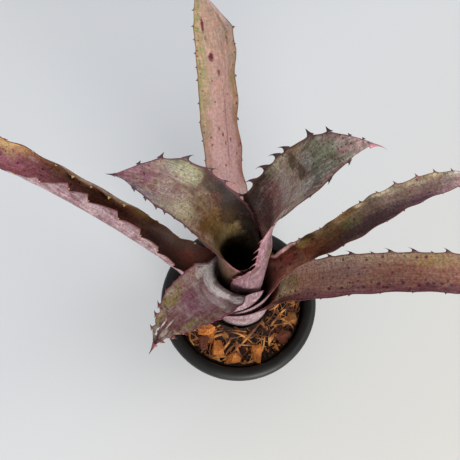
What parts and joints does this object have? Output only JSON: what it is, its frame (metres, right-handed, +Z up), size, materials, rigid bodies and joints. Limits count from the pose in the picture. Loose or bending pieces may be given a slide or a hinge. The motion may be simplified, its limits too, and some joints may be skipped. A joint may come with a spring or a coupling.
{
  "type": "potted bromeliad",
  "caption": "Bromeliad with spine-edged leaves rolled round a water cup, in a round plastic nursery pot of husk chips.",
  "frame": {"origin": "centre of the pot's foot, on the surface that the pot stands on", "axes": "+Z up along the pot's axis; -Y is the front; +X to the right, along the longest two leaves"},
  "size_m": [0.3445, 0.21, 0.2731],
  "materials": {
    "pot": "satin",
    "mix": "matte",
    "husk": "matte",
    "fibre": "matte",
    "stem": "matte",
    "leaf": "satin"
  },
  "bodies": {
    "root": {"pot": "pot", "growing_mix": "mix", "stem": "stem", "leaf_upper_left": "leaf", "leaf_upper_right": "leaf", "leaf_lower_left": "leaf", "leaf_right_back": "leaf", "leaf_right": "leaf", "leaf_back": "leaf", "leaf_left": "leaf", "leaf_heart": "leaf", "husk_chip_1": "husk", "husk_chip_2": "husk", "husk_chip_3": "husk", "husk_chip_4": "husk", "husk_chip_5": "husk", "husk_chip_6": "husk", "husk_chip_7": "husk", "husk_chip_8": "husk", "husk_chip_9": "husk", "husk_chip_10": "husk", "husk_chip_11": "husk", "husk_chip_12": "husk", "husk_chip_13": "husk", "husk_chip_14": "husk", "coir_fibre_1": "fibre", "coir_fibre_2": "fibre", "coir_fibre_3": "fibre", "coir_fibre_4": "fibre", "coir_fibre_5": "fibre", "coir_fibre_6": "fibre"}
  },
  "joints": []
}
